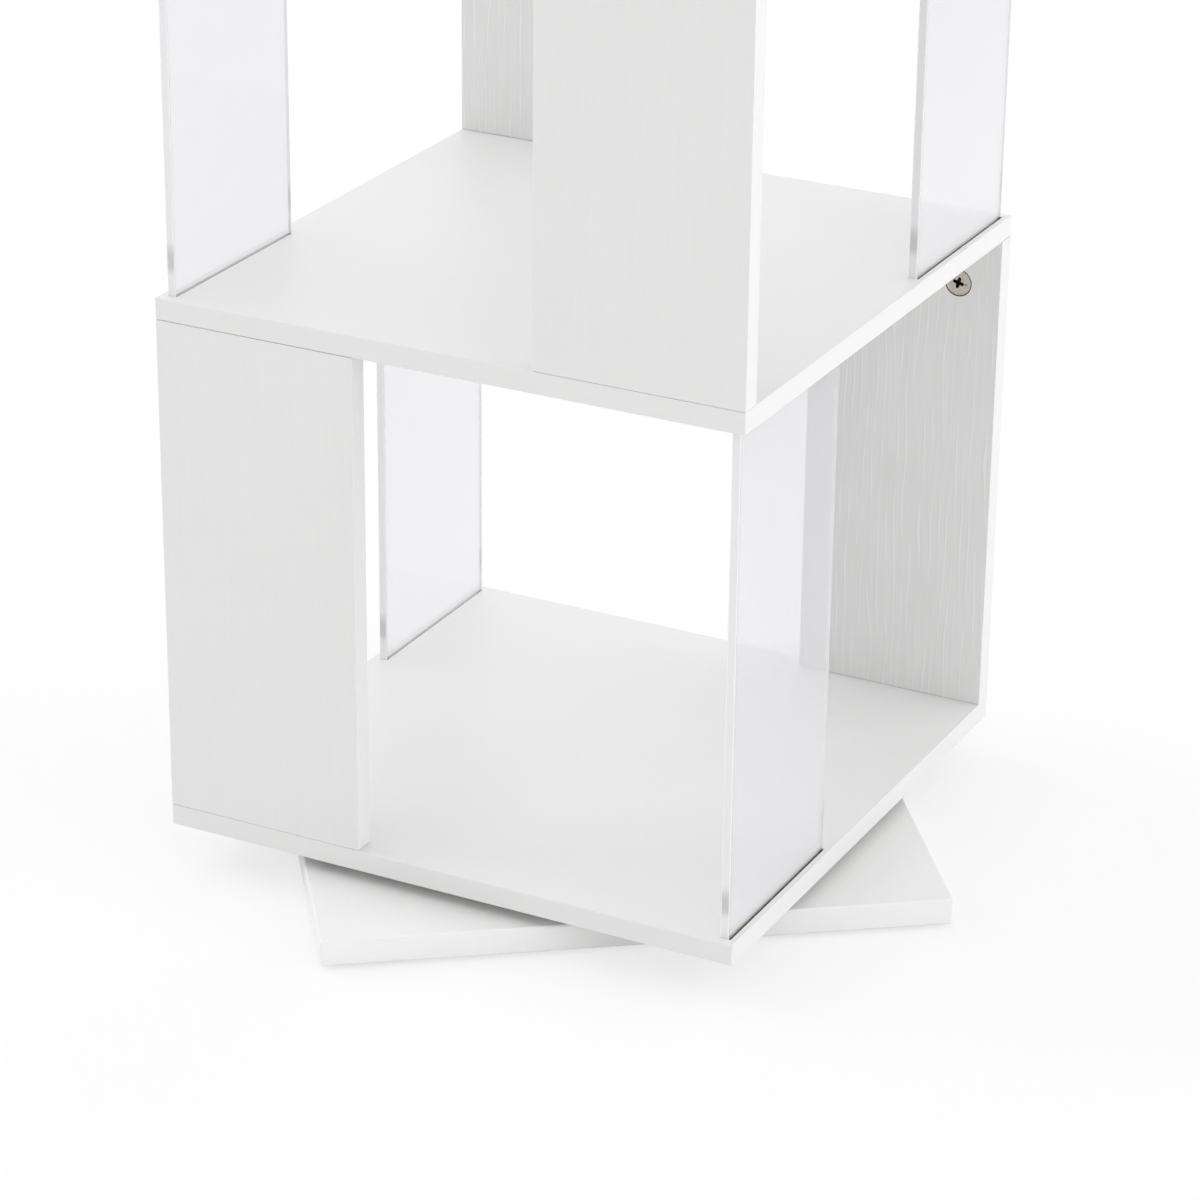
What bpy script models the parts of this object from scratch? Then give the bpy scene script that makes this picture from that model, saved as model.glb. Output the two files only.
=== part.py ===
# Revolving bookcase: a square tower of open tiers that turns on a ball-bearing turntable.
# Metres, +Z up. The origin is on the floor, on the axis that the tower turns about.
# The tower's faces lie along X and Y, and the base board stands turned under it, as in use.

import math

import bmesh
import bpy
from mathutils import Matrix

# Tower: tiers stacked between shelf boards
TIER_COUNT = 5
SHELF_WIDTH = 0.340
BOARD_THICKNESS = 0.012
CLEAR_HEIGHT = 0.282
EDGE_EASE = 0.0008

# Upright wood panels, flush with the front and back edges of the shelves
PANEL_WIDTH = 0.118

# Upright acrylic guards, standing in grooves beside the left and right edges
GUARD_WIDTH = 0.116
GUARD_THICKNESS = 0.005
GUARD_FACE_INSET = 0.0045
GUARD_END_INSET = 0.0055
GUARD_EASE = 0.0004
GROOVE_DEPTH = 0.003
GROOVE_CLEARANCE = 0.0004

# Base board, its pads and the way it is turned under the tower
BASE_WIDTH = 0.340
BASE_THICKNESS = 0.015
BASE_TURN = math.radians(36.4)
PAD_RADIUS = 0.011
PAD_HEIGHT = 0.002
PAD_CHAMFER = 0.0004
PAD_INSET = 0.030

# Turntable: two pressed steel plates, a ball race between them and a hollow rivet
TURNTABLE_HEIGHT = 0.0065
PLATE_WIDTH = 0.150
PLATE_THICKNESS = 0.0012
PLATE_CORNER_RADIUS = 0.012
PLATE_SCREW_INSET = 0.013
BALL_COUNT = 12
BALL_RADIUS = 0.002
BALL_CIRCLE_RADIUS = 0.045
RACE_CLEARANCE = 0.0004
CAGE_WIDTH = 0.010
CAGE_THICKNESS = 0.001
RIVET_RADIUS = 0.005
RIVET_WALL = 0.0012
RIVET_FLANGE_RADIUS = 0.008
RIVET_FLANGE_THICKNESS = 0.0006
HUB_CLEARANCE = 0.001

# Low-headed screws that hold the two plates, each in one solid with its plate
PLATE_SCREW_LENGTH = 0.010
PLATE_SCREW_RADIUS = 0.00175
PLATE_SCREW_HEAD_RADIUS = 0.004
PLATE_SCREW_HEAD_HEIGHT = 0.0012
PLATE_SCREW_TIP = 0.002
DRIVER_HOLE_RADIUS = 0.006

# Cam locks near the top of each wood panel, each in one solid with the bolt that it holds
CAM_RADIUS = 0.0075
CAM_LENGTH = 0.0095
CAM_DROP = 0.028
CROSS_ARM = 0.0034
CROSS_HALF_WIDTH = 0.001
CROSS_DEPTH = 0.0018
CROSS_TURN = math.radians(-15)
BOLT_HEAD_RADIUS = 0.003
BOLT_HEAD_LENGTH = 0.003
BOLT_NECK_RADIUS = 0.002
BOLT_NECK_LENGTH = 0.008
BOLT_SHANK_RADIUS = 0.0025
BOLT_GRIP = 0.009
CAM_BITE = 0.0002

# Countersunk screws up through each shelf, in one solid with the panel above that they hold
SCREW_RADIUS = 0.002
SCREW_HEAD_RADIUS = 0.0038
SCREW_HEAD_HEIGHT = 0.0022
FASTENER_END_INSET = 0.025

# Dowels glued into the top of each panel, in one solid with it, and into the shelf above
DOWEL_RADIUS = 0.003
DOWEL_GRIP = 0.008
DOWEL_CHAMFER = 0.0006

# Gaps between pieces that touch, how far cutters run past the faces that they open,
# and how far joined shapes run into each other
SEAT_GAP = 0.0003
CUT_OVERRUN = 0.001
JOIN_OVERLAP = 0.0005
WELD_DISTANCE = 0.000001

# Sides on round pieces
RACE_SIDES = 26
CAM_SIDES = 14
PAD_SIDES = 12
HOLE_SIDES = 8
RACE_PROFILE_SIDES = 10
CORNER_STEPS = 4
BALL_SIDES = 8
BALL_RINGS = 5
SHARP_ANGLE = math.radians(50)

# Heights
BASE_BOTTOM = PAD_HEIGHT + SEAT_GAP
BASE_TOP = BASE_BOTTOM + BASE_THICKNESS
TOWER_BOTTOM = BASE_TOP + TURNTABLE_HEIGHT
TIER_PITCH = BOARD_THICKNESS + CLEAR_HEIGHT
PANEL_HEIGHT = CLEAR_HEIGHT - 2 * SEAT_GAP
GUARD_HEIGHT = CLEAR_HEIGHT + 2 * (GROOVE_DEPTH - SEAT_GAP)
BEARING_HEIGHT = BASE_TOP + TURNTABLE_HEIGHT / 2

# Places along a panel's width, from its middle
FASTENER_OFFSET = PANEL_WIDTH / 2 - FASTENER_END_INSET

# Each finish: colour, roughness, metallic, transmission
FINISHES = {
    "white_laminate": ((0.80, 0.80, 0.79), 0.45, 0.0, 0.0),
    "clear_acrylic": ((0.96, 0.96, 0.97), 0.05, 0.0, 1.0),
    "nickel": ((0.66, 0.62, 0.56), 0.30, 1.0, 0.0),
    "zinc_steel": ((0.60, 0.60, 0.60), 0.35, 1.0, 0.0),
    "grey_felt": ((0.30, 0.30, 0.30), 0.95, 0.0, 0.0),
}


# Shapes

def box(low, high):
    """A box between two corners."""
    shape = bmesh.new()
    size = [b - a for a, b in zip(low, high)]
    centre = [(a + b) / 2 for a, b in zip(low, high)]
    place = Matrix.Translation(centre) @ Matrix.Diagonal((*size, 1))
    bmesh.ops.create_cube(shape, size=1, matrix=place)
    return shape


def ease_edges(shape, width, upright_only=False):
    """A small chamfer along the edges of a box, or along its upright edges alone."""
    edges = list(shape.edges)
    if upright_only:
        edges = [e for e in edges if (e.verts[0].co - e.verts[1].co).to_2d().length < WELD_DISTANCE]
    bmesh.ops.bevel(shape, geom=edges, offset=width, segments=1, affect="EDGES")
    return shape


def turned(profile, sides, is_ring=False):
    """A flat-ended solid turned about Z from (radius, height) points, or a ring from a closed profile."""
    shape = bmesh.new()
    points = [shape.verts.new((radius, 0, height)) for radius, height in profile]
    edges = [shape.edges.new(pair) for pair in zip(points, points[1:])]
    if is_ring:
        edges.append(shape.edges.new((points[-1], points[0])))
    bmesh.ops.spin(shape, geom=points + edges, cent=(0, 0, 0), axis=(0, 0, 1),
                   angle=2 * math.pi, steps=sides, use_merge=True)
    bmesh.ops.remove_doubles(shape, verts=shape.verts, dist=WELD_DISTANCE)
    end_centres = [v for v in shape.verts if v.co.to_2d().length < WELD_DISTANCE]
    bmesh.ops.dissolve_verts(shape, verts=end_centres)
    bmesh.ops.recalc_face_normals(shape, faces=shape.faces)
    return shape


def cylinder(radius, low, high, sides):
    return turned([(0, low), (radius, low), (radius, high), (0, high)], sides)


def prism(outline, low, high):
    """A solid from a flat outline of (x, y) points, between two heights."""
    shape = bmesh.new()
    face = shape.faces.new([shape.verts.new((x, y, low)) for x, y in outline])
    raised = bmesh.ops.extrude_face_region(shape, geom=[face])["geom"]
    top = [item for item in raised if isinstance(item, bmesh.types.BMVert)]
    bmesh.ops.translate(shape, verts=top, vec=(0, 0, high - low))
    bmesh.ops.recalc_face_normals(shape, faces=shape.faces)
    return shape


def rounded_square(width, corner_radius):
    """Outline of a square with its corners rounded by arcs."""
    middle = width / 2 - corner_radius
    outline = []
    for corner in range(4):
        start = corner * math.pi / 2
        turn = start + math.pi / 4
        centre_x = middle * math.copysign(1, math.cos(turn))
        centre_y = middle * math.copysign(1, math.sin(turn))
        for step in range(CORNER_STEPS + 1):
            angle = start + step / CORNER_STEPS * math.pi / 2
            outline.append((centre_x + corner_radius * math.cos(angle),
                            centre_y + corner_radius * math.sin(angle)))
    return outline


def cross_outline(arm, half_width):
    """Outline of a cross recess, arms along X and Y."""
    quarter = [(arm, -half_width), (arm, half_width), (half_width, half_width)]
    outline = []
    for turn in range(4):
        angle = turn * math.pi / 2
        outline += [(x * math.cos(angle) - y * math.sin(angle),
                     x * math.sin(angle) + y * math.cos(angle)) for x, y in quarter]
    return outline


def gather(placed_shapes):
    """One mesh from (shape, matrix) pairs, each staying a separate solid."""
    group = bmesh.new()
    for shape, place in placed_shapes:
        loose = bpy.data.meshes.new("loose")
        shape.to_mesh(loose)
        loose.transform(place)
        group.from_mesh(loose)
        bpy.data.meshes.remove(loose)
    return group


def at(x, y, z):
    return Matrix.Translation((x, y, z))


# Objects

def to_mesh(shape, name, smooth=False):
    mesh = bpy.data.meshes.new(name)
    shape.to_mesh(mesh)
    shape.free()
    if smooth:
        mesh.shade_smooth()
        mesh.set_sharp_from_angle(angle=SHARP_ANGLE)
    return mesh


def add_object(name, mesh, parent=None, place=Matrix.Identity(4)):
    item = bpy.data.objects.new(name, mesh)
    bpy.context.scene.collection.objects.link(item)
    item.parent = parent
    item.matrix_basis = place
    return item


def combine(item, tool_shape, operation, label):
    """A Boolean on item with a helper shape that keeps item's place."""
    tool_mesh = to_mesh(tool_shape, item.name + "_" + label)
    tool = add_object(tool_mesh.name, tool_mesh, item.parent, item.matrix_basis)
    tool.hide_render = True
    tool.display_type = "WIRE"
    step = item.modifiers.new(label, "BOOLEAN")
    step.operation = operation
    step.solver = "EXACT"
    step.object = tool
    return tool


def finished_mesh(name, shape, steps, smooth=False):
    """The mesh of a shape after its Boolean steps, for a piece that is used more than once."""
    pattern = add_object(name, to_mesh(shape, name))
    tools = [combine(pattern, tool_shape, operation, label) for tool_shape, operation, label in steps]
    evaluated = pattern.evaluated_get(bpy.context.evaluated_depsgraph_get())
    mesh = bpy.data.meshes.new_from_object(evaluated)
    for leftover in [pattern] + tools:
        bpy.data.objects.remove(leftover, do_unlink=True)
    if smooth:
        mesh.shade_smooth()
        mesh.set_sharp_from_angle(angle=SHARP_ANGLE)
    return mesh


def add_piece(name, mesh, finish, parent, place=Matrix.Identity(4)):
    """A named piece of the bookcase with its own material."""
    piece = add_object(name, mesh, parent, place)
    colour, roughness, metallic, transmission = FINISHES[finish]
    look = bpy.data.materials.new(name + "_" + finish)
    look.use_nodes = True
    shader = look.node_tree.nodes["Principled BSDF"]
    shader.inputs["Base Color"].default_value = (*colour, 1)
    shader.inputs["Roughness"].default_value = roughness
    shader.inputs["Metallic"].default_value = metallic
    shader.inputs["Transmission Weight"].default_value = transmission
    if not mesh.materials:
        mesh.materials.append(None)
    piece.material_slots[0].link = "OBJECT"
    piece.material_slots[0].material = look
    return piece


# Places in the tower

def shelf_underside(level):
    return TOWER_BOTTOM + level * TIER_PITCH


def hand(tier):
    """Odd tiers have their front panel at the left, even tiers at the right."""
    return -1 if tier % 2 else 1


def facing_pair(place):
    """A place and the one half a turn round the tower from it."""
    return [place, Matrix.Rotation(math.pi, 4, "Z") @ place]


def panel_places(tier, z):
    """Front and back panel of a tier: X along the width, +Y towards the inside."""
    x = hand(tier) * (SHELF_WIDTH - PANEL_WIDTH) / 2
    y = (BOARD_THICKNESS - SHELF_WIDTH) / 2
    return facing_pair(at(x, y, z))


def guard_places(tier, z):
    """The tier's guards: the first beside the front corner that the wood panel leaves open."""
    x = -hand(tier) * ((SHELF_WIDTH - GUARD_THICKNESS) / 2 - GUARD_FACE_INSET)
    y = GUARD_END_INSET + (GUARD_WIDTH - SHELF_WIDTH) / 2
    return facing_pair(at(x, y, z))


def fastener_places(tier, z):
    """The two fasteners of each panel in a tier, those of the front panel first."""
    return [place @ at(offset, 0, 0) for place in panel_places(tier, z)
            for offset in (-FASTENER_OFFSET, FASTENER_OFFSET)]


# Fastener holes

def bolt_hole():
    """Blind hole in a shelf's underside for the end of a cam bolt."""
    return cylinder(BOLT_SHANK_RADIUS + SEAT_GAP, -CUT_OVERRUN, BOLT_GRIP + SEAT_GAP, HOLE_SIDES)


def dowel_hole():
    """Blind hole in a shelf's underside for the end of a dowel."""
    return cylinder(DOWEL_RADIUS + SEAT_GAP, -CUT_OVERRUN, DOWEL_GRIP + SEAT_GAP, HOLE_SIDES)


def screw_hole():
    """Through hole in a shelf, countersunk in its underside."""
    head = SCREW_HEAD_RADIUS + SEAT_GAP
    shank = SCREW_RADIUS + SEAT_GAP
    sink = SCREW_HEAD_HEIGHT + SEAT_GAP
    mouth = head + (head - shank) * CUT_OVERRUN / sink
    top = BOARD_THICKNESS + CUT_OVERRUN
    return turned([(0, -CUT_OVERRUN), (mouth, -CUT_OVERRUN), (shank, sink), (shank, top), (0, top)],
                  HOLE_SIDES)


def groove():
    """Slot for the edge of a guard, centred on z = 0."""
    half = [GUARD_THICKNESS / 2 + GROOVE_CLEARANCE, GUARD_WIDTH / 2 + GROOVE_CLEARANCE, GROOVE_DEPTH]
    return box([-size for size in half], half)


# Shelves

def shelf_cuts(level):
    """What a shelf board is cut for, from the tiers below and above it; z = 0 is its underside."""
    cuts = []
    if level > 0:
        below = level
        cuts += [(bolt_hole(), place) for place in fastener_places(below, 0)]
        cuts += [(dowel_hole(), place) for place in panel_places(below, 0)]
        cuts += [(groove(), place) for place in guard_places(below, 0)]
    if level < TIER_COUNT:
        above = level + 1
        cuts += [(screw_hole(), place) for place in fastener_places(above, 0)]
        cuts += [(groove(), place) for place in guard_places(above, BOARD_THICKNESS)]
    if level == 0:
        cuts += [(plate_screw_hole(), place) for place in plate_screw_places(0)]
    return gather(cuts)


def build_shelves(tower):
    half = SHELF_WIDTH / 2
    for level in range(TIER_COUNT + 1):
        name = "shelf_%d" % (level + 1)
        if level == 0:
            name = "bottom_shelf"
        if level == TIER_COUNT:
            name = "top_board"
        board = ease_edges(box((-half, -half, 0), (half, half, BOARD_THICKNESS)), EDGE_EASE)
        place = at(0, 0, shelf_underside(level))
        shelf = add_piece(name, to_mesh(board, name), "white_laminate", tower, place)
        combine(shelf, shelf_cuts(level), "DIFFERENCE", "cutter")


# Wood panels

def panel_screw():
    """What shows of a screw below a panel: z = 0 is the panel's foot."""
    head = -BOARD_THICKNESS
    return turned([(0, head), (SCREW_HEAD_RADIUS, head), (SCREW_RADIUS, head + SCREW_HEAD_HEIGHT),
                   (SCREW_RADIUS, JOIN_OVERLAP), (0, JOIN_OVERLAP)], HOLE_SIDES)


def panel_dowel():
    """What shows of a dowel above a panel: z = 0 is the panel's top."""
    top = DOWEL_GRIP + SEAT_GAP
    return turned([(0, -JOIN_OVERLAP), (DOWEL_RADIUS, -JOIN_OVERLAP), (DOWEL_RADIUS, top - DOWEL_CHAMFER),
                   (DOWEL_RADIUS - DOWEL_CHAMFER, top), (0, top)], HOLE_SIDES)


def panel_mesh():
    """A panel standing on z = 0, its inner face towards +Y."""
    half_width = PANEL_WIDTH / 2
    half_thick = BOARD_THICKNESS / 2
    board = box((-half_width, -half_thick, 0), (half_width, half_thick, PANEL_HEIGHT))
    ease_edges(board, EDGE_EASE, upright_only=True)

    cam_height = PANEL_HEIGHT - CAM_DROP
    pocket = cylinder(CAM_RADIUS + SEAT_GAP, -CAM_LENGTH - SEAT_GAP, CUT_OVERRUN, CAM_SIDES)
    bolt_way = cylinder(BOLT_SHANK_RADIUS + SEAT_GAP, cam_height, PANEL_HEIGHT + CUT_OVERRUN, HOLE_SIDES)
    pockets = []
    ways = []
    joined = [(panel_dowel(), at(0, 0, PANEL_HEIGHT))]
    for offset in (-FASTENER_OFFSET, FASTENER_OFFSET):
        pockets.append((pocket, at(offset, 0, cam_height) @ cam_seat()))
        ways.append((bolt_way, at(offset, 0, 0)))
        joined.append((panel_screw(), at(offset, 0, 0)))
    steps = [(gather(pockets), "DIFFERENCE", "cam_pockets"),
             (gather(ways), "DIFFERENCE", "bolt_ways"),
             (gather(joined), "UNION", "screws_and_dowel")]
    return finished_mesh("wood_panel", board, steps)


def build_panels(tower):
    mesh = panel_mesh()
    for tier in range(1, TIER_COUNT + 1):
        floor = shelf_underside(tier - 1) + BOARD_THICKNESS + SEAT_GAP
        front, back = panel_places(tier, floor)
        add_piece("wood_panel_front_%d" % tier, mesh, "white_laminate", tower, front)
        add_piece("wood_panel_back_%d" % tier, mesh, "white_laminate", tower, back)


# Acrylic guards

def build_guards(tower):
    half_thick = GUARD_THICKNESS / 2
    half_width = GUARD_WIDTH / 2
    sheet = box((-half_thick, -half_width, 0), (half_thick, half_width, GUARD_HEIGHT))
    mesh = to_mesh(ease_edges(sheet, GUARD_EASE, upright_only=True), "acrylic_guard")
    for tier in range(1, TIER_COUNT + 1):
        foot = shelf_underside(tier - 1) + BOARD_THICKNESS - GROOVE_DEPTH + SEAT_GAP
        for place in guard_places(tier, foot):
            side = "right" if place.translation.x > 0 else "left"
            add_piece("acrylic_guard_%s_%d" % (side, tier), mesh, "clear_acrylic", tower, place)


# Cam locks

def cam_seat():
    """From a cam's own frame to the middle of a panel's thickness: its face on the inner face."""
    return at(0, BOARD_THICKNESS / 2, 0) @ Matrix.Rotation(-math.pi / 2, 4, "X")


def cam_bolt():
    """A cam bolt standing on its head, z = 0 at the middle of the head."""
    head_half = BOLT_HEAD_LENGTH / 2
    neck_top = head_half + BOLT_NECK_LENGTH
    top = CAM_DROP + SEAT_GAP + BOLT_GRIP
    return turned([(0, -head_half), (BOLT_HEAD_RADIUS, -head_half), (BOLT_HEAD_RADIUS, head_half),
                   (BOLT_NECK_RADIUS, head_half), (BOLT_NECK_RADIUS, neck_top),
                   (BOLT_SHANK_RADIUS, neck_top), (BOLT_SHANK_RADIUS, top), (0, top)], HOLE_SIDES)


def cam_mesh():
    """A cam with its driver face at z = 0, hooked over the head of the bolt that enters along -Y."""
    body = cylinder(CAM_RADIUS, -CAM_LENGTH, 0, CAM_SIDES)
    bolt_axis = -BOARD_THICKNESS / 2
    back = -CAM_LENGTH - CUT_OVERRUN
    head = BOLT_HEAD_RADIUS + SEAT_GAP
    head_half = BOLT_HEAD_LENGTH / 2
    neck = BOLT_NECK_RADIUS + SEAT_GAP
    rim = CAM_RADIUS + CUT_OVERRUN
    chamber = box((-head, CAM_BITE - head_half, back), (head, head_half + SEAT_GAP, bolt_axis + head))
    slot = box((-neck, -rim, back), (neck, 0, bolt_axis + neck))
    recess = prism(cross_outline(CROSS_ARM, CROSS_HALF_WIDTH), -CROSS_DEPTH, CUT_OVERRUN)
    cuts = gather([(chamber, at(0, 0, 0)), (recess, Matrix.Rotation(CROSS_TURN, 4, "Z"))])
    bolt = gather([(cam_bolt(), at(0, 0, bolt_axis) @ Matrix.Rotation(math.pi / 2, 4, "X"))])
    steps = [(cuts, "DIFFERENCE", "chamber_and_cross"), (slot, "DIFFERENCE", "neck_slot"),
             (bolt, "UNION", "bolt")]
    return finished_mesh("cam_lock", body, steps, smooth=True)


def build_cam_locks(tower):
    mesh = cam_mesh()
    for tier in range(1, TIER_COUNT + 1):
        cam_height = shelf_underside(tier) - SEAT_GAP - CAM_DROP
        labels = ("front_%da", "front_%db", "back_%da", "back_%db")
        for label, place in zip(labels, fastener_places(tier, cam_height)):
            add_piece("cam_lock_" + label % tier, mesh, "nickel", tower, place @ cam_seat())


# Turntable

def plate_screw_places(z):
    """The four screw holes of a turntable plate, square to the plate."""
    reach = PLATE_WIDTH / 2 - PLATE_SCREW_INSET
    return [at(x, y, z) for x in (-reach, reach) for y in (-reach, reach)]


def plate_screw():
    """A low-headed screw pointing down, z = 0 under its head."""
    profile = [(0, PLATE_SCREW_HEAD_HEIGHT), (PLATE_SCREW_HEAD_RADIUS, PLATE_SCREW_HEAD_HEIGHT),
               (PLATE_SCREW_HEAD_RADIUS, -JOIN_OVERLAP), (PLATE_SCREW_RADIUS, -JOIN_OVERLAP),
               (PLATE_SCREW_RADIUS, PLATE_SCREW_TIP - PLATE_SCREW_LENGTH), (0, -PLATE_SCREW_LENGTH)]
    return turned(profile, HOLE_SIDES)


def plate_screw_hole():
    """Blind hole in a board that a plate lies under, opening downwards."""
    depth = PLATE_SCREW_LENGTH - PLATE_THICKNESS
    return cylinder(PLATE_SCREW_RADIUS + SEAT_GAP, -CUT_OVERRUN, depth, HOLE_SIDES)


def plate_mesh():
    """The lower plate with its screws: a square sheet, a race for the balls and a raised hub."""
    press = RIVET_FLANGE_THICKNESS + SEAT_GAP
    pocket_radius = RIVET_FLANGE_RADIUS + HUB_CLEARANCE
    hub_radius = pocket_radius + PLATE_THICKNESS
    hub_top = PLATE_THICKNESS + press
    sheet = prism(rounded_square(PLATE_WIDTH, PLATE_CORNER_RADIUS), 0, PLATE_THICKNESS)
    hub = cylinder(hub_radius, JOIN_OVERLAP, hub_top, CAM_SIDES)
    raised = [(hub, at(0, 0, 0))]
    raised += [(plate_screw(), place) for place in plate_screw_places(PLATE_THICKNESS)]

    bore = RIVET_RADIUS + SEAT_GAP
    hub_cut = turned([(0, -CUT_OVERRUN), (pocket_radius, -CUT_OVERRUN), (pocket_radius, press),
                      (bore, press), (bore, hub_top + CUT_OVERRUN), (0, hub_top + CUT_OVERRUN)], CAM_SIDES)
    ball_centre = TURNTABLE_HEIGHT / 2 - SEAT_GAP
    race_radius = BALL_RADIUS + RACE_CLEARANCE
    turns = [index / RACE_PROFILE_SIDES * 2 * math.pi for index in range(RACE_PROFILE_SIDES)]
    race_profile = [(BALL_CIRCLE_RADIUS + race_radius * math.cos(turn),
                     ball_centre + race_radius * math.sin(turn)) for turn in turns]
    race = turned(race_profile, RACE_SIDES, is_ring=True)
    steps = [(gather(raised), "UNION", "hub_and_screws"),
             (gather([(hub_cut, at(0, 0, 0)), (race, at(0, 0, 0))]), "DIFFERENCE", "openings")]
    return finished_mesh("swivel_plate", sheet, steps)


def build_turntable(stand, ball_ring, tower):
    plate = plate_mesh()
    lower_bottom = BASE_TOP + SEAT_GAP
    upper_top = TOWER_BOTTOM - SEAT_GAP
    upside_down = at(0, 0, upper_top) @ Matrix.Rotation(math.pi, 4, "X")
    add_piece("lower_swivel_plate", plate, "zinc_steel", stand, at(0, 0, lower_bottom))
    add_piece("upper_swivel_plate", plate, "zinc_steel", tower, upside_down)

    bore = RIVET_RADIUS - RIVET_WALL
    low_flange = lower_bottom + RIVET_FLANGE_THICKNESS
    high_flange = upper_top - RIVET_FLANGE_THICKNESS
    rivet = turned([(bore, lower_bottom), (RIVET_FLANGE_RADIUS, lower_bottom),
                    (RIVET_FLANGE_RADIUS, low_flange), (RIVET_RADIUS, low_flange),
                    (RIVET_RADIUS, high_flange), (RIVET_FLANGE_RADIUS, high_flange),
                    (RIVET_FLANGE_RADIUS, upper_top), (bore, upper_top)], CAM_SIDES, is_ring=True)
    add_piece("centre_rivet", to_mesh(rivet, "centre_rivet", smooth=True), "zinc_steel", stand)

    build_ball_ring(ball_ring)


def build_ball_ring(ball_ring):
    """The balls in the flat cage that spaces them, midway between the plates."""
    inner = BALL_CIRCLE_RADIUS - CAGE_WIDTH / 2
    outer = BALL_CIRCLE_RADIUS + CAGE_WIDTH / 2
    half = CAGE_THICKNESS / 2
    ring = turned([(inner, -half), (outer, -half), (outer, half), (inner, half)], RACE_SIDES, is_ring=True)
    cage = add_piece("ball_cage", to_mesh(ring, "ball_cage"), "zinc_steel", ball_ring,
                     at(0, 0, BEARING_HEIGHT))
    ball = bmesh.new()
    bmesh.ops.create_uvsphere(ball, u_segments=BALL_SIDES, v_segments=BALL_RINGS, radius=BALL_RADIUS)
    step = 2 * math.pi / BALL_COUNT
    out = at(BALL_CIRCLE_RADIUS, 0, 0)
    places = [Matrix.Rotation(index * step, 4, "Z") @ out for index in range(BALL_COUNT)]
    combine(cage, gather([(ball, place) for place in places]), "UNION", "balls")


# Base

def build_base(stand):
    half = BASE_WIDTH / 2
    board = ease_edges(box((-half, -half, 0), (half, half, BASE_THICKNESS)), EDGE_EASE)
    base = add_piece("base_board", to_mesh(board, "base_board"), "white_laminate", stand,
                     at(0, 0, BASE_BOTTOM))
    upside_down = Matrix.Rotation(math.pi, 4, "X")
    driver_hole = cylinder(DRIVER_HOLE_RADIUS, -CUT_OVERRUN, BASE_THICKNESS + CUT_OVERRUN, CAM_SIDES)
    screw_circle = (PLATE_WIDTH / 2 - PLATE_SCREW_INSET) * math.sqrt(2)
    cuts = [(plate_screw_hole(), place @ upside_down) for place in plate_screw_places(BASE_THICKNESS)]
    cuts.append((driver_hole, at(screw_circle, 0, 0)))
    combine(base, gather(cuts), "DIFFERENCE", "cutter")

    pad = to_mesh(turned([(0, 0), (PAD_RADIUS - PAD_CHAMFER, 0), (PAD_RADIUS, PAD_CHAMFER),
                          (PAD_RADIUS, PAD_HEIGHT), (0, PAD_HEIGHT)], PAD_SIDES), "foot_pad")
    reach = half - PAD_INSET
    corners = [(x, y) for x in (-reach, reach) for y in (-reach, reach)]
    for number, (x, y) in enumerate(corners, start=1):
        add_piece("foot_pad_%d" % number, pad, "grey_felt", stand, at(x, y, 0))


def build_bookcase():
    for leftover in list(bpy.data.objects):
        bpy.data.objects.remove(leftover, do_unlink=True)

    # The parent empties stand on the turning axis: the base is fixed, the other two turn.
    stand = add_object("base_stand", None, place=Matrix.Rotation(BASE_TURN, 4, "Z"))
    ball_ring = add_object("ball_ring_axis", None)
    tower = add_object("tower_axis", None)

    build_base(stand)
    build_turntable(stand, ball_ring, tower)
    build_shelves(tower)
    build_panels(tower)
    build_guards(tower)
    build_cam_locks(tower)


build_bookcase()
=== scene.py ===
import math

import bmesh
import bpy
from mathutils import Matrix, Quaternion, Vector


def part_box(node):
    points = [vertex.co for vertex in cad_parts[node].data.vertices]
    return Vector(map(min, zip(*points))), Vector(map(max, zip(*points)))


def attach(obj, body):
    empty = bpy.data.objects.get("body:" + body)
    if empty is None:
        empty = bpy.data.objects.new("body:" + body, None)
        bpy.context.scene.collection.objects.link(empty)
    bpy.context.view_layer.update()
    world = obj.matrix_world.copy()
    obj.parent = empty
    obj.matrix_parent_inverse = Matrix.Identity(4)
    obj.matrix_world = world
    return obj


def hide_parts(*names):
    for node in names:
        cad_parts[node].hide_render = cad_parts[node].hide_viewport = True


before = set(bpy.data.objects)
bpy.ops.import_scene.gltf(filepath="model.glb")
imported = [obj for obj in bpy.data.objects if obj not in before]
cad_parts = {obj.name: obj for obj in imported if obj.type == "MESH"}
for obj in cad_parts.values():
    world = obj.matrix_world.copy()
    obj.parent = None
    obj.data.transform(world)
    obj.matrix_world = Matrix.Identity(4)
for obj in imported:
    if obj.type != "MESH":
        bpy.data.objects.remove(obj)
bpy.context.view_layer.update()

# Revolving bookcase: white laminate boards, clear acrylic guards, cam locks and a swivel plate.
# Everything is in metres, and every place comes from the CAD nodes.

mm = 0.001
tierCount = sum(name.startswith("acrylic_guard_left_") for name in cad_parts)
tiers = range(1, tierCount + 1)
panelKeys = [(tier, side) for tier in tiers for side in ("front", "back")]
seatGap = 0.3 * mm  # between pieces that touch


# Places, read from the frame

def shelfNode(level):
    if level == 0:
        return "bottom_shelf"
    return "top_board" if level == tierCount else "shelf_%d" % (level + 1)


def shelfBox(level):
    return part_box(shelfNode(level))


def camPlaces(tier, side):
    # The cam's own frame: its face at z = 0 looks into the tower, -Y is up
    places = []
    for end in "ab":
        low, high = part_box("cam_lock_%s_%d%s" % (side, tier, end))
        radius = (high.x - low.x) / 2
        faceY = high.y if side == "front" else low.y
        place = Matrix.Translation(((low.x + high.x) / 2, faceY, low.z + radius))
        turn = Matrix.Identity(4) if side == "front" else Matrix.Rotation(math.pi, 4, "Z")
        places.append(place @ turn @ Matrix.Rotation(-math.pi / 2, 4, "X"))
    return places


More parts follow.
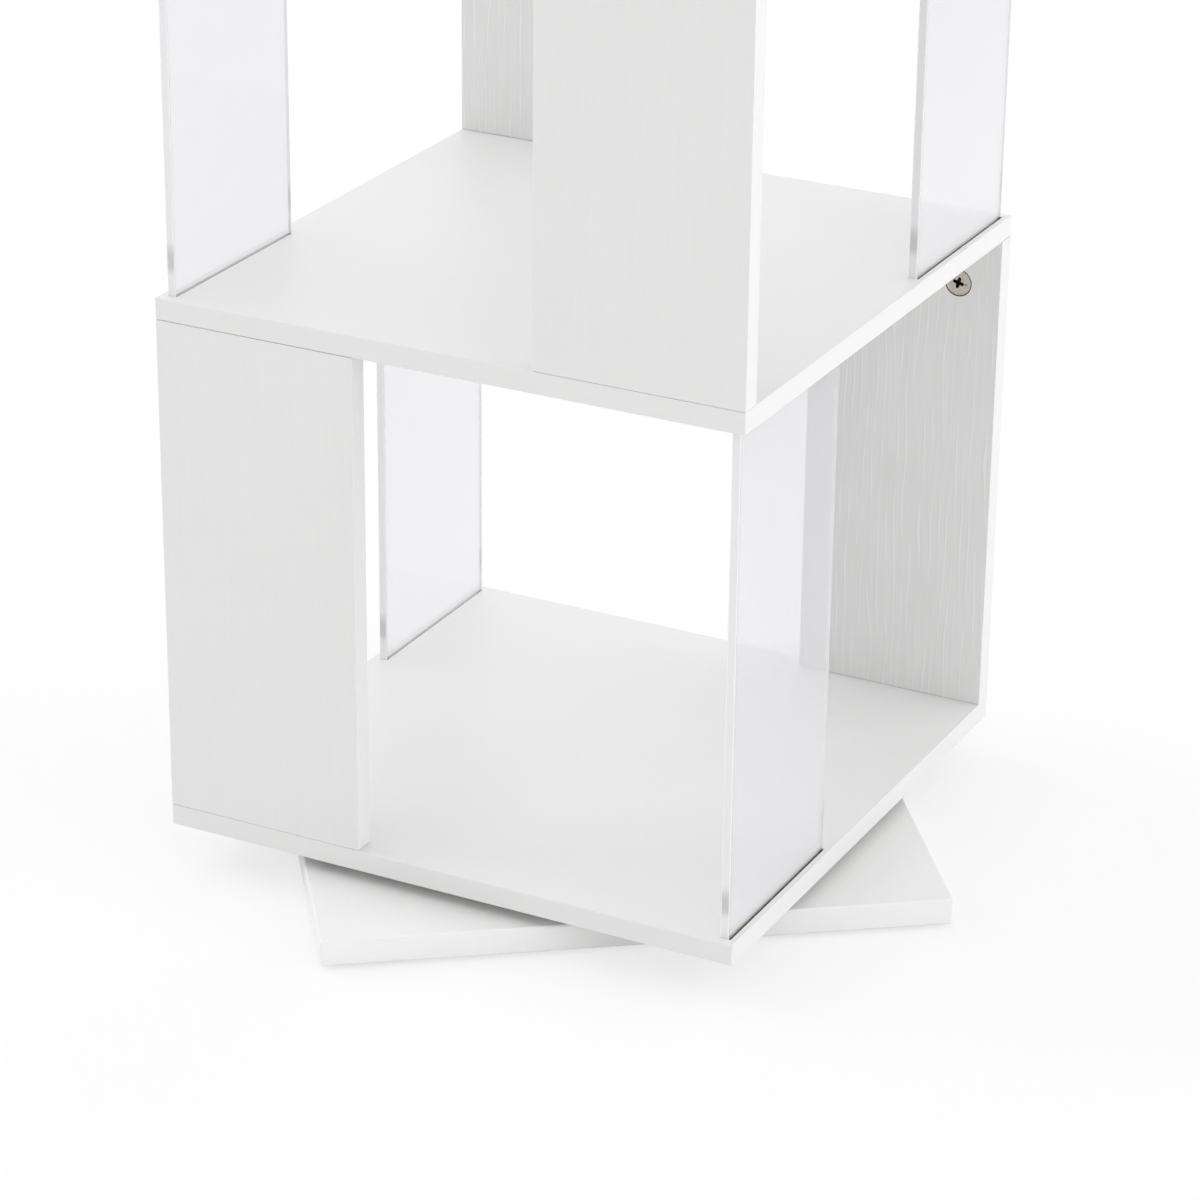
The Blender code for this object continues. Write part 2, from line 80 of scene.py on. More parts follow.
def panelBox(tier, side):
    # The board alone: the node's box also holds its screws and its dowel
    low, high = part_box("wood_panel_%s_%d" % (side, tier))
    low.z = shelfBox(tier - 1)[1].z + seatGap
    high.z = shelfBox(tier)[0].z - seatGap
    return low, high


# Node helpers

noiseSpan = (0.3, 0.7)  # what a noise texture mostly gives


def newLook(name):
    look = bpy.data.materials.new(name)
    look.use_nodes = True
    look.node_tree.nodes.clear()
    return look


def addNode(look, kind, inputs=None, **settings):
    made = look.node_tree.nodes.new(kind)
    for name, value in settings.items():
        setattr(made, name, value)
    for name, value in (inputs or {}).items():
        if isinstance(value, bpy.types.NodeSocket):
            look.node_tree.links.new(value, made.inputs[name])
        else:
            made.inputs[name].default_value = value
    return made


def calc(look, operation, first, second=0.0):
    return addNode(look, "ShaderNodeMath", {0: first, 1: second}, operation=operation).outputs[0]


def fit(look, value, low, high, newLow=0.0, newHigh=1.0):
    inputs = {"Value": value, "From Min": low, "From Max": high,
              "To Min": newLow, "To Max": newHigh}
    return addNode(look, "ShaderNodeMapRange", inputs, interpolation_type="SMOOTHSTEP").outputs[0]


def blendColours(look, factor, *colours):
    # Each colour is a socket or three channels
    first, second = (colour if isinstance(colour, bpy.types.NodeSocket) else (*colour, 1)
                     for colour in colours)
    inputs = {0: factor, 6: first, 7: second}
    return addNode(look, "ShaderNodeMix", inputs, data_type="RGBA").outputs[2]


def blendNumbers(look, first, share, second, otherShare):
    return calc(look, "ADD", calc(look, "MULTIPLY", first, share),
                calc(look, "MULTIPLY", second, otherShare))


def blendShaders(look, factor, first, second):
    inputs = {0: factor, 1: first.outputs[0], 2: second.outputs[0]}
    return addNode(look, "ShaderNodeMixShader", inputs)


def noiseOf(look, vector, scale=1.0, detail=2.0, roughness=0.5):
    inputs = {"Vector": vector, "Scale": scale, "Detail": detail, "Roughness": roughness}
    return addNode(look, "ShaderNodeTexNoise", inputs).outputs["Fac"]


def objectPoint(look):
    return addNode(look, "ShaderNodeTexCoord").outputs["Object"]


def squeezedPoint(look, alongZ):
    inputs = {0: objectPoint(look), 1: (1, 1, alongZ)}
    return addNode(look, "ShaderNodeVectorMath", inputs, operation="MULTIPLY").outputs[0]


def heightShare(look):
    # 0 at the foot of the piece and 1 at its top
    generated = addNode(look, "ShaderNodeTexCoord").outputs["Generated"]
    return addNode(look, "ShaderNodeSeparateXYZ", {0: generated}).outputs["Z"]


def raise3d(look, height, distance):
    inputs = {"Height": height, "Distance": distance, "Strength": 1.0}
    return addNode(look, "ShaderNodeBump", inputs).outputs["Normal"]


def finishLook(look, inputs):
    shader = addNode(look, "ShaderNodeBsdfPrincipled", inputs)
    addNode(look, "ShaderNodeOutputMaterial", {"Surface": shader.outputs[0]})
    return look


# White laminate with an embossed grain, whose lines carry a painted highlight and painted shade on
# one flank. The map "grain" is in metres: V runs along the grain.
laminate = {
    "dull": (0.748, 0.748, 0.743),
    "pale": (0.768, 0.768, 0.765),
    "line": (0.86, 0.86, 0.855),  # painted highlight: the raised lines, where they show
    "flankShade": 0.05,  # painted shade: how much darker the side of a line is
    "contrast": 0.055,  # more between dull and pale, where the lines show in full
    "lineSpacing": 5.0 * mm,
    "lineWidth": 0.9 * mm,
    "lineEdge": (0.15, 0.75),  # where its top ends and where its side ends, in line widths
    "lineHeight": 2.0,  # in embossings
    "lineDrift": 1.1,  # how far a line moves off its place, in spacings
    "driftWidth": 22 * mm,
    "driftLength": 90 * mm,
    "breakSpacing": 5 * mm,
    "breakLength": 45 * mm,
    "breakFrom": (0.42, 0.60),  # where in the noise a line fades in
    "streakSpacing": 1.2 * mm,
    "streakLength": 60 * mm,
    "streakHeight": 0.1,  # in embossings, without lines
    "linedHeight": 0.33,  # more, where the lines show in full
    "streakShare": 0.6,  # of the tone
    "cloudShare": 0.4,
    "waver": 2.6 * mm,  # how far the lines wander sideways
    "waverLength": 40 * mm,
    "cloud": 110 * mm,
    "embossing": 0.10 * mm,
    "roughness": 0.44,
    "roughnessSpread": 0.10,
}


def laminateLook(name, lined, paintedBrightness=1.0):
    look = newLook(name)
    grain = addNode(look, "ShaderNodeUVMap", uv_map="grain").outputs[0]
    parts = addNode(look, "ShaderNodeSeparateXYZ", {0: grain})
    across, along = parts.outputs["X"], parts.outputs["Y"]

    def grainNoise(width, length, sideways=across, detail=2.0):
        x = calc(look, "MULTIPLY", sideways, 1 / width)
        y = calc(look, "MULTIPLY", along, 1 / length)
        point = addNode(look, "ShaderNodeCombineXYZ", {"X": x, "Y": y}).outputs[0]
        return noiseOf(look, point, detail=detail)

    wander = grainNoise(laminate["waverLength"] / 3, laminate["waverLength"], detail=3)
    shifted = calc(look, "ADD", across, calc(look, "MULTIPLY", wander, laminate["waver"]))
    spacing, width = laminate["lineSpacing"], laminate["lineWidth"]
    drift = grainNoise(laminate["driftWidth"], laminate["driftLength"], detail=1)
    drift = calc(look, "MULTIPLY", drift, 2 * laminate["lineDrift"] * spacing)
    breaks = grainNoise(laminate["breakSpacing"], laminate["breakLength"])
    breaks = fit(look, breaks, *laminate["breakFrom"])
    topEdge, footEdge = laminate["lineEdge"]

    def linesAt(offset):
        place = calc(look, "ADD", calc(look, "ADD", shifted, drift), offset)
        distance = calc(look, "PINGPONG", place, spacing / 2)
        line = fit(look, distance, topEdge * width, footEdge * width, 1.0, 0.0)
        return calc(look, "MULTIPLY", line, breaks)

    lines, shadedFlanks = linesAt(0), linesAt(width)
    streaks = grainNoise(laminate["streakSpacing"], laminate["streakLength"], shifted, detail=3)
    cloud = grainNoise(laminate["cloud"], laminate["cloud"], detail=1)

    tone = blendNumbers(look, streaks, laminate["streakShare"], cloud, laminate["cloudShare"])
    soft = 0.5 * (1 - lined)
    tone = fit(look, tone, 0.5 - soft, 0.5 + soft)
    spread = laminate["contrast"] * lined
    # paintedBrightness scales the whole colour: painted light above 1, painted shade below 1
    dull = [channel * (paintedBrightness - spread) for channel in laminate["dull"]]
    pale = [channel * (paintedBrightness + spread) for channel in laminate["pale"]]
    colour = blendColours(look, tone, dull, pale)
    # Painted shade on each line's flank, then a painted highlight on the line itself
    shade = calc(look, "MULTIPLY", shadedFlanks, laminate["flankShade"] * lined)
    colour = blendColours(look, shade, colour, (0, 0, 0))
    colour = blendColours(look, calc(look, "MULTIPLY", lines, lined), colour, laminate["line"])
    height = blendNumbers(look, lines, laminate["lineHeight"] * lined, streaks,
                          laminate["streakHeight"] + laminate["linedHeight"] * lined)
    roughness, spread = laminate["roughness"], laminate["roughnessSpread"]
    return finishLook(look, {
        "Base Color": colour,
        "Roughness": fit(look, streaks, *noiseSpan, roughness - spread / 2, roughness + spread / 2),
        "Normal": raise3d(look, height, laminate["embossing"]),
    })


# Chipboard, where a groove or a hole is cut through the laminate: its own chips, drawn darker than
# bare chipboard as painted shade inside the cuts
core = {
    # both colours are darker than the chipboard's own: painted shade in the grooves and holes
    "dark": (0.065, 0.038, 0.021),
    "pale": (0.25, 0.158, 0.088),
    "lip": (0.74, 0.725, 0.70),  # a shelf's outer layer, where a cut goes through it
    "lipFrom": (0.57, 0.88),  # share of the way from the middle of the board to its face
    "chip": 1.6 * mm,
    "dust": 2.5,  # grains of dust to a chip's width
    "toneSpan": (0.05, 0.5),
    "roughness": (0.8, 0.95),
    "relief": 0.15 * mm,
}


def coreAndShadeLook(name, lipped=False):
    look = newLook(name)
    point = objectPoint(look)
    chips = addNode(look, "ShaderNodeTexVoronoi", {"Vector": point, "Scale": 1 / core["chip"]})
    dust = noiseOf(look, point, core["dust"] / core["chip"], detail=3)
    tone = calc(look, "MULTIPLY", chips.outputs["Distance"], dust)
    colour = blendColours(look, fit(look, tone, *core["toneSpan"]), core["dark"], core["pale"])
    if lipped:
        offMiddle = calc(look, "SUBTRACT", heightShare(look), 0.5)
        outwards = calc(look, "ABSOLUTE", calc(look, "MULTIPLY", offMiddle, 2.0))
        colour = blendColours(look, fit(look, outwards, *core["lipFrom"]), colour, core["lip"])
    return finishLook(look, {
        "Base Color": colour,
        "Roughness": fit(look, dust, *noiseSpan, *core["roughness"]),
        "Normal": raise3d(look, tone, core["relief"]),
    })


# Clear cast acrylic. Its colour counts twice, once at each face.
acrylic = {
    "clear": (0.872, 0.868, 0.892),
    "dull": (0.862, 0.858, 0.880),
    "wave": 60 * mm,  # slow unevenness of a cast sheet
    "waveHeight": 0.02 * mm,
    "smear": 35 * mm,
    "smearFrom": (0.50, 0.75),
    "smearRoughness": 0.035,
    "refraction": 1.49,
    "haze": 0.72,  # milkiness where the sheet is seen at a slant
    "hazeRise": 1.5,
    "hazeColour": (0.885, 0.877, 0.890, 1),
    "through": 0.55,  # share of the haze that is light from the far side
    "seated": (0.0085, 0.0105),  # share of its height that stands in a groove, without haze
    "shadow": (0.955, 0.955, 0.965, 1),  # what passes on its way to another surface
}


def acrylicLook():
    look = newLook("clear acrylic")
    point = objectPoint(look)
    wave = noiseOf(look, point, 1 / acrylic["wave"], detail=1)
    smear = noiseOf(look, point, 1 / acrylic["smear"], detail=4, roughness=0.6)
    smear = fit(look, smear, *acrylic["smearFrom"])
    sheet = addNode(look, "ShaderNodeBsdfPrincipled", {
        "Base Color": blendColours(look, smear, acrylic["clear"], acrylic["dull"]),
        "Roughness": fit(look, smear, 0.0, 1.0, 0.0, acrylic["smearRoughness"]),
        "IOR": acrylic["refraction"],
        "Transmission Weight": 1.0,
        "Normal": raise3d(look, wave, acrylic["waveHeight"]),
    })
    slant = addNode(look, "ShaderNodeLayerWeight", {"Blend": 0.5}).outputs["Facing"]
    haze = calc(look, "MULTIPLY", calc(look, "POWER", slant, acrylic["hazeRise"]), acrylic["haze"])
    rise = heightShare(look)
    seatedTo, clearFrom = acrylic["seated"]
    haze = calc(look, "MULTIPLY", haze, fit(look, rise, seatedTo, clearFrom))
    haze = calc(look, "MULTIPLY", haze, fit(look, rise, 1 - clearFrom, 1 - seatedTo, 1.0, 0.0))
    near = addNode(look, "ShaderNodeBsdfDiffuse", {"Color": acrylic["hazeColour"]})
    far = addNode(look, "ShaderNodeBsdfTranslucent", {"Color": acrylic["hazeColour"]})
    hazy = blendShaders(look, haze, sheet, blendShaders(look, acrylic["through"], near, far))
    passing = addNode(look, "ShaderNodeBsdfTransparent", {"Color": acrylic["shadow"]})
    path = addNode(look, "ShaderNodeLightPath")
    lightOnly = calc(look, "MAXIMUM", path.outputs["Is Shadow Ray"], path.outputs["Is Diffuse Ray"])
    both = blendShaders(look, lightOnly, hazy, passing)
    addNode(look, "ShaderNodeOutputMaterial", {"Surface": both.outputs[0]})
    return look


# The sheet's cut edges are milky, with a painted reflection of the groove, a grey band a little
# above the shelf.
# The painted reflection stays off the polished arrises, which are drawn paler as a painted
# highlight.
acrylicEdge = {
    "milky": (0.800, 0.803, 0.806),
    # painted highlight: the polished arrises are drawn near white
    "arris": (0.93, 0.93, 0.94),
    # grey: the painted reflection of the groove
    "grey": (0.56, 0.55, 0.55),
    "reflectionFrom": (0.045, 0.070),  # share of the sheet's height: where the painted reflection starts
    "reflectionTo": (0.085, 0.120),
    "grooveShade": (0.10, 0.050, 0.028),  # painted shade: in the groove the clear edge is drawn as the dark chipboard
    "grooveShadeTo": (0.0075, 0.0090),  # share of the sheet's height
    "edgeReflection": 0.9,
    "arrisReflection": 0.1,
    "cut": 0.6 * mm,
    "cutGrey": 0.06,
    "roughness": (0.18, 0.30),
    "relief": 0.03 * mm,
}


def acrylicEdgeLook(name, milky, reflectionShare):
    look = newLook(name)
    point = objectPoint(look)
    cut = noiseOf(look, point, 1 / acrylicEdge["cut"], detail=3, roughness=0.6)
    rise = heightShare(look)
    # The painted reflection: a grey band of the groove a little above the shelf, with the cut's own
    # unevenness
    grey = calc(look, "MULTIPLY", fit(look, rise, *acrylicEdge["reflectionFrom"]),
                fit(look, rise, *acrylicEdge["reflectionTo"], 1.0, 0.0))
    cutAndReflection = calc(look, "ADD", calc(look, "MULTIPLY", grey, reflectionShare),
                  fit(look, cut, *noiseSpan, 0.0, acrylicEdge["cutGrey"]))
    openColour = blendColours(look, cutAndReflection, milky, acrylicEdge["grey"])
    # Where the edge stands in the groove it is painted dark: painted shade
    seatedTo, clearFrom = acrylicEdge["grooveShadeTo"]
    grooveShadeMask = calc(look, "MAXIMUM", fit(look, rise, seatedTo, clearFrom, 1.0, 0.0),
                  fit(look, rise, 1 - clearFrom, 1 - seatedTo))
    return finishLook(look, {
        "Base Color": blendColours(look, grooveShadeMask, openColour, acrylicEdge["grooveShade"]),
        "Roughness": fit(look, cut, *noiseSpan, *acrylicEdge["roughness"]),
        "IOR": acrylic["refraction"],
        "Normal": raise3d(look, cut, acrylicEdge["relief"]),
    })


# Metals: a base colour, a darker tarnish, and fine scratches
metals = {
    "satin nickel": {"bright": (0.56, 0.52, 0.46), "dull": (0.40, 0.36, 0.31), "roughness": 0.30,
                     "grain": 0.9 * mm, "relief": 0.02 * mm},
    "zinc plate": {"bright": (0.62, 0.63, 0.64), "dull": (0.46, 0.47, 0.49), "roughness": 0.34,
                   "grain": 3.0 * mm, "relief": 0.02 * mm},
    # driver recess: near black, painted shade in the drivers' crosses and the cam's arrow mark
    "driver recess": {"bright": (0.035, 0.032, 0.03), "dull": (0.012, 0.011, 0.01),
                      "roughness": 0.6, "grain": 0.6 * mm, "relief": 0.02 * mm},
}
wear = {
    "tarnishFrom": (0.35, 0.7),
    "scratches": 0.5,  # to a grain, along X and Y
    "squeeze": 14,  # how much closer they lie along Z
    "polish": 0.06,  # how much smoother than its metal the smoothest place is
    "matt": 0.10,  # and how much rougher the roughest one
}


def metalLook(name):
    metal = metals[name]
    look = newLook(name)
    patch = noiseOf(look, objectPoint(look), 1 / metal["grain"], detail=3, roughness=0.6)
    tarnish = fit(look, patch, *wear["tarnishFrom"])
    squeezed = squeezedPoint(look, wear["squeeze"])
    scratch = noiseOf(look, squeezed, wear["scratches"] / metal["grain"], detail=4, roughness=0.7)
    return finishLook(look, {
        "Base Color": blendColours(look, tarnish, metal["bright"], metal["dull"]),
        "Metallic": 1.0,
        "Roughness": fit(look, scratch, *noiseSpan, metal["roughness"] - wear["polish"],
                         metal["roughness"] + wear["matt"]),
        "Normal": raise3d(look, scratch, metal["relief"]),
    })


# Beech, for the fluted dowels
beech = {
    "early": (0.60, 0.42, 0.25),
    "late": (0.45, 0.29, 0.16),
    "lateFrom": (0.35, 0.65),
    "ring": 0.8 * mm,
    "length": 12 * mm,
    "roughness": (0.55, 0.7),
    "relief": 0.05 * mm,
}


def beechLook():
    look = newLook("beech")
    squeezed = squeezedPoint(look, beech["ring"] / beech["length"])
    grain = noiseOf(look, squeezed, 1 / beech["ring"], detail=3)
    late = fit(look, grain, *beech["lateFrom"])
    return finishLook(look, {
        "Base Color": blendColours(look, late, beech["early"], beech["late"]),
        "Roughness": fit(look, grain, *noiseSpan, *beech["roughness"]),
        "Normal": raise3d(look, grain, beech["relief"]),
    })


# Grey felt, for the pads under the base
felt = {
    "pale": (0.36, 0.36, 0.36),
    "dark": (0.20, 0.20, 0.205),
    "paleFrom": (0.35, 0.65),
    "fibre": 0.5 * mm,
    "fibreShare": 0.7,  # of the tone
    "clump": 0.15,  # clumps to a fibre's width
    "clumpShare": 0.3,
    "roughness": (0.88, 1.0),
    "sheen": 0.3,
    "nap": 0.25 * mm,
}


def feltLook():
    look = newLook("grey felt")
    point = objectPoint(look)
    fibres = noiseOf(look, point, 1 / felt["fibre"], detail=6, roughness=0.75)
    clumps = noiseOf(look, point, felt["clump"] / felt["fibre"])
    tone = blendNumbers(look, fibres, felt["fibreShare"], clumps, felt["clumpShare"])
    tone = fit(look, tone, *felt["paleFrom"])
    return finishLook(look, {
        "Base Color": blendColours(look, tone, felt["dark"], felt["pale"]),
        "Roughness": fit(look, fibres, *noiseSpan, *felt["roughness"]),
        "Sheen Weight": felt["sheen"],
        "Normal": raise3d(look, fibres, felt["nap"]),
    })


looks = {
    "laminate": laminateLook("white laminate", 0.08),
    # Inside, drawn 5% darker as painted shade; where the light comes in from the side, the grain's
    # painted highlights and flank shade show more
    "shadedInnerLaminate": laminateLook("shaded inner laminate", 0.45, 0.95),
    # The base's laminate is drawn 11% brighter: painted light against the shade under the tower
    "litBaseLaminate": laminateLook("lit base laminate", 0.08, 1.11),
    "core": coreAndShadeLook("chipboard core"),
    "shelfCoreAndShade": coreAndShadeLook("shelf core", lipped=True),
    "acrylic": acrylicLook(),
    "acrylicEdge": acrylicEdgeLook("acrylic cut edge", acrylicEdge["milky"],
                                   acrylicEdge["edgeReflection"]),
    "acrylicArrisHighlight": acrylicEdgeLook("acrylic arris", acrylicEdge["arris"],
                                    acrylicEdge["arrisReflection"]),
    "nickel": metalLook("satin nickel"),
    "zinc": metalLook("zinc plate"),
    "recess": metalLook("driver recess"),
    "beech": beechLook(),
    "felt": feltLook(),
}
print("materials:", len(looks))


# Mesh helpers

midRound = 0.3  # where the middle of a rounded edge lies, as a share of its radius
flatFrom = 0.9  # a face whose normal is this near to an axis lies square to it
bandFrom = 0.75  # the same for a board's ends with their rounded edges
weldGap = 0.0001 * mm
# Edges that turn by less than this, in degrees, are smooth
boardAngle, cutAngle, turnedAngle = 35, 40, 50


def boxShape(low, high):
    shape = bmesh.new()
    centre = (Vector(low) + Vector(high)) / 2
    size = Vector(high) - Vector(low)
    place = Matrix.Translation(centre) @ Matrix.Diagonal((*size, 1))
    bmesh.ops.create_cube(shape, size=1, matrix=place)
    return shape


def roundEdges(shape, radius, steps):
    bmesh.ops.bevel(shape, geom=list(shape.edges), offset=radius, segments=steps,
                    profile=0.5, affect="EDGES")
    return shape


def turnedShape(profile, sides):
    # A solid turned about Z from (radius, height) points that start and end on the axis
    shape = bmesh.new()
    points = [shape.verts.new((radius, 0, height)) for radius, height in profile]
    edges = [shape.edges.new(pair) for pair in zip(points, points[1:])]
    bmesh.ops.spin(shape, geom=points + edges, cent=(0, 0, 0), axis=(0, 0, 1),
                   angle=2 * math.pi, steps=sides, use_merge=True)
    bmesh.ops.remove_doubles(shape, verts=shape.verts, dist=weldGap)
    bmesh.ops.recalc_face_normals(shape, faces=shape.faces)
    return shape


def extrudedShape(outline, low, high):
    shape = bmesh.new()
    face = shape.faces.new([shape.verts.new((x, y, low)) for x, y in outline])
    raised = bmesh.ops.extrude_face_region(shape, geom=[face])["geom"]
    top = [item for item in raised if isinstance(item, bmesh.types.BMVert)]
    bmesh.ops.translate(shape, verts=top, vec=(0, 0, high - low))
    bmesh.ops.recalc_face_normals(shape, faces=shape.faces)
    return shape


def gathered(placedShapes):
    group = bmesh.new()
    for shape, place in placedShapes:
        loose = bpy.data.meshes.new("loose")
        shape.to_mesh(loose)
        loose.transform(place)
        group.from_mesh(loose)
        bpy.data.meshes.remove(loose)
    return group


def meshOf(name, shape, lookNames):
    mesh = bpy.data.meshes.new(name)
    shape.to_mesh(mesh)
    shape.free()
    for lookName in lookNames:
        mesh.materials.append(looks[lookName])
    return mesh


def cutMesh(mesh, cutters):
    # The mesh after cutting each (shape, look index) out of it
    for shape, lookIndex in cutters:
        whole = bpy.data.objects.new("whole", mesh)
        for face in shape.faces:
            face.material_index = lookIndex
        toolMesh = bpy.data.meshes.new("tool")
        shape.to_mesh(toolMesh)
        shape.free()
        for look in mesh.materials:
            toolMesh.materials.append(look)
        tool = bpy.data.objects.new("tool", toolMesh)
        for item in (whole, tool):
            bpy.context.scene.collection.objects.link(item)
        step = whole.modifiers.new("cut", "BOOLEAN")
        step.operation = "DIFFERENCE"
        step.solver = "EXACT"
        step.object = tool
        graph = bpy.context.evaluated_depsgraph_get()
        result = bpy.data.meshes.new_from_object(whole.evaluated_get(graph))
        result.name = mesh.name
        bpy.data.objects.remove(whole)
        bpy.data.objects.remove(tool)
        mesh = result
    return mesh


def smoothMesh(mesh, angle=boardAngle):
    mesh.shade_smooth()
    mesh.set_sharp_from_angle(angle=math.radians(angle))
    return mesh


def layGrain(mesh, along, band, shift):
    # V runs along the grain, but along the band on the ends, whose band is a strip of its own
    shape = bmesh.new()
    shape.from_mesh(mesh)
    grainMap = shape.loops.layers.uv.new("grain")
    for face in shape.faces:
        direction = band if abs(face.normal.dot(along)) > bandFrom else along
        across = direction.cross(face.normal).normalized()
        for loop in face.loops:
            point = loop.vert.co
            loop[grainMap].uv = (point.dot(across) + shift, point.dot(direction) + shift)
    shape.to_mesh(mesh)
    shape.free()


def addPiece(name, mesh, body, replaced=(), place=None):
    piece = bpy.data.objects.new(name, mesh)
    bpy.context.scene.collection.objects.link(piece)
    if place is not None:
        piece.matrix_world = place
    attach(piece, body)
    if replaced:
        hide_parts(*replaced)
    return piece


def evenNormals(piece):
    # Keeps the flat faces flat beside their rounded edges
    step = piece.modifiers.new("even normals", "WEIGHTED_NORMAL")
    step.keep_sharp = True


axisX, axisY, axisZ = Vector((1, 0, 0)), Vector((0, 1, 0)), Vector((0, 0, 1))

# Fasteners. The bolts, screws and dowels are hidden once the tower is together.
camLock = {
    "faceRound": 0.4 * mm,
    "rim": 0.7 * mm,  # width of the raised rim
    "dish": 0.15 * mm,  # how far the face lies under the rim
    "armLength": 3.4 * mm,
    "armWidth": 2.1 * mm,
    "crossDepth": 2.2 * mm,
    "crossTurn": -15,  # degrees, as in the photo
    "arrowAt": (-4.9 * mm, 0.5 * mm),
    "arrowLength": 1.5 * mm,
    "arrowWidth": 0.9 * mm,
    "arrowDepth": 0.3 * mm,
    "sides": 48,
}
camBolt = {
    "headRadius": 3.0 * mm,
    "headLength": 3.0 * mm,
    "neckRadius": 2.0 * mm,
    "neckLength": 8.0 * mm,
    "threadRadius": 2.5 * mm,
    "rootRadius": 2.0 * mm,
    "threadPitch": 1.3 * mm,
    "threadStart": 2.0 * mm,  # above the neck
    "edge": 0.3 * mm,
    "point": 0.5 * mm,
    "sides": 24,
}
holes = {"boltRadius": 2.8 * mm, "camClearance": 0.45 * mm, "sides": 24}


def crossOutline(arm, width):
    # Four arms with round tips, drawn as half circles
    half, tipSteps = width / 2, 6
    outline = []
    for quarter in range(4):
        turn = quarter * math.pi / 2
        points = [(half, -half)]
        for step in range(tipSteps + 1):
            angle = -math.pi / 2 + step * math.pi / tipSteps
            points.append((arm - half + half * math.cos(angle), half * math.sin(angle)))
        cosine, sine = math.cos(turn), math.sin(turn)
        outline += [(x * cosine - y * sine, x * sine + y * cosine) for x, y in points]
    return outline


def arrowOutline():
    x, y = camLock["arrowAt"]
    length, width = camLock["arrowLength"], camLock["arrowWidth"]
    return [(x - length / 2, y), (x + length / 2, y - width / 2), (x + length / 2, y + width / 2)]


def camMesh():
    low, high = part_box("cam_lock_front_1a")
    radius = (high.x - low.x) / 2
    length = high.y - low.y
    panelLow, panelHigh = panelBox(1, "front")
    boltAxis = -(panelHigh.y - panelLow.y) / 2
    faceRound, rim, dish = camLock["faceRound"], camLock["rim"], camLock["dish"]
    profile = [(0, -length), (radius - faceRound, -length), (radius, faceRound - length),
               (radius, -faceRound), (radius - midRound * faceRound, -midRound * faceRound),
               (radius - faceRound, 0), (radius - rim, 0), (radius - rim - dish, -dish), (0, -dish)]
    body = turnedShape(profile, camLock["sides"])
    cross = crossOutline(camLock["armLength"], camLock["armWidth"])
    recess = extrudedShape(cross, -camLock["crossDepth"], mm)
    turn = Matrix.Rotation(math.radians(camLock["crossTurn"]), 3, "Z")
    bmesh.ops.rotate(recess, verts=recess.verts, matrix=turn)
    arrow = extrudedShape(arrowOutline(), -camLock["arrowDepth"], mm)
    head, neck = camBolt["headRadius"] + seatGap, camBolt["neckRadius"] + seatGap
    half = camBolt["headLength"] / 2 + seatGap
    chamber = boxShape((-head, -half, -length - mm), (head, half, boltAxis + head))
    slot = boxShape((-neck, -radius - mm, -length - mm), (neck, 0, boltAxis + neck))
    mesh = meshOf("cam", body, ["nickel", "recess"])
    mesh = cutMesh(mesh, [(recess, 1), (arrow, 1), (chamber, 0), (slot, 0)])
    return smoothMesh(mesh, cutAngle), boltAxis, high.z - low.z - radius


def boltMesh(reach):
    half = camBolt["headLength"] / 2
    neckTop = half + camBolt["neckLength"]
    head, neck = camBolt["headRadius"], camBolt["neckRadius"]
    thread, root, pitch = camBolt["threadRadius"], camBolt["rootRadius"], camBolt["threadPitch"]
    edge, point = camBolt["edge"], camBolt["point"]
    profile = [(0, -half), (head - edge, -half), (head, edge - half), (head, half - edge),
               (head - edge, half), (neck, half), (neck, neckTop), (thread, neckTop + edge)]
    height = neckTop + camBolt["threadStart"]
    profile.append((thread, height - pitch / 2))
    while height + pitch < reach - point:
        profile += [(root, height), (thread, height + pitch / 2)]
        height += pitch
    profile += [(root, reach - point), (root - point, reach), (0, reach)]
    mesh = meshOf("cam bolt", turnedShape(profile, camBolt["sides"]), ["zinc"])
    return smoothMesh(mesh, turnedAngle)


camShape, boltAxis, boltReach = camMesh()
boltShape = boltMesh(boltReach)
boltTurn = Matrix.Translation((0, 0, boltAxis)) @ Matrix.Rotation(math.pi / 2, 4, "X")
for tier, side in panelKeys:
    for end, place in zip("ab", camPlaces(tier, side)):
        label = "%s_%d%s" % (side, tier, end)
        addPiece("cam_" + label, camShape, "tower", ["cam_lock_" + label], place)
        addPiece("cam_bolt_" + label, boltShape, "tower", place=place @ boltTurn)
print("cam locks:", 4 * tierCount)

# Countersunk screws up through each shelf, and fluted dowels in the panels' tops
screw = {
    "headRadius": 3.8 * mm,
    "headHeight": 2.2 * mm,
    "headEdge": 0.25 * mm,
    "neckFlare": 0.3 * mm,  # how much wider than the shank the head's cone ends
    "neckRise": 0.5 * mm,
    "rootRadius": 1.5 * mm,
    "threadRadius": 2.0 * mm,
    "pitch": 1.8 * mm,
    "threadStart": 4 * mm,  # above the head
    "point": 4 * mm,
    "length": 38 * mm,
    "crossArm": 2.1 * mm,
    "crossWidth": 1.0 * mm,
    "crossDepth": 1.4 * mm,
    "sides": 24,
}
dowel = {"radius": 3.0 * mm, "flutes": 16, "fluteDepth": 0.25 * mm, "chamfer": 0.7 * mm,
         "inPanel": 10 * mm}


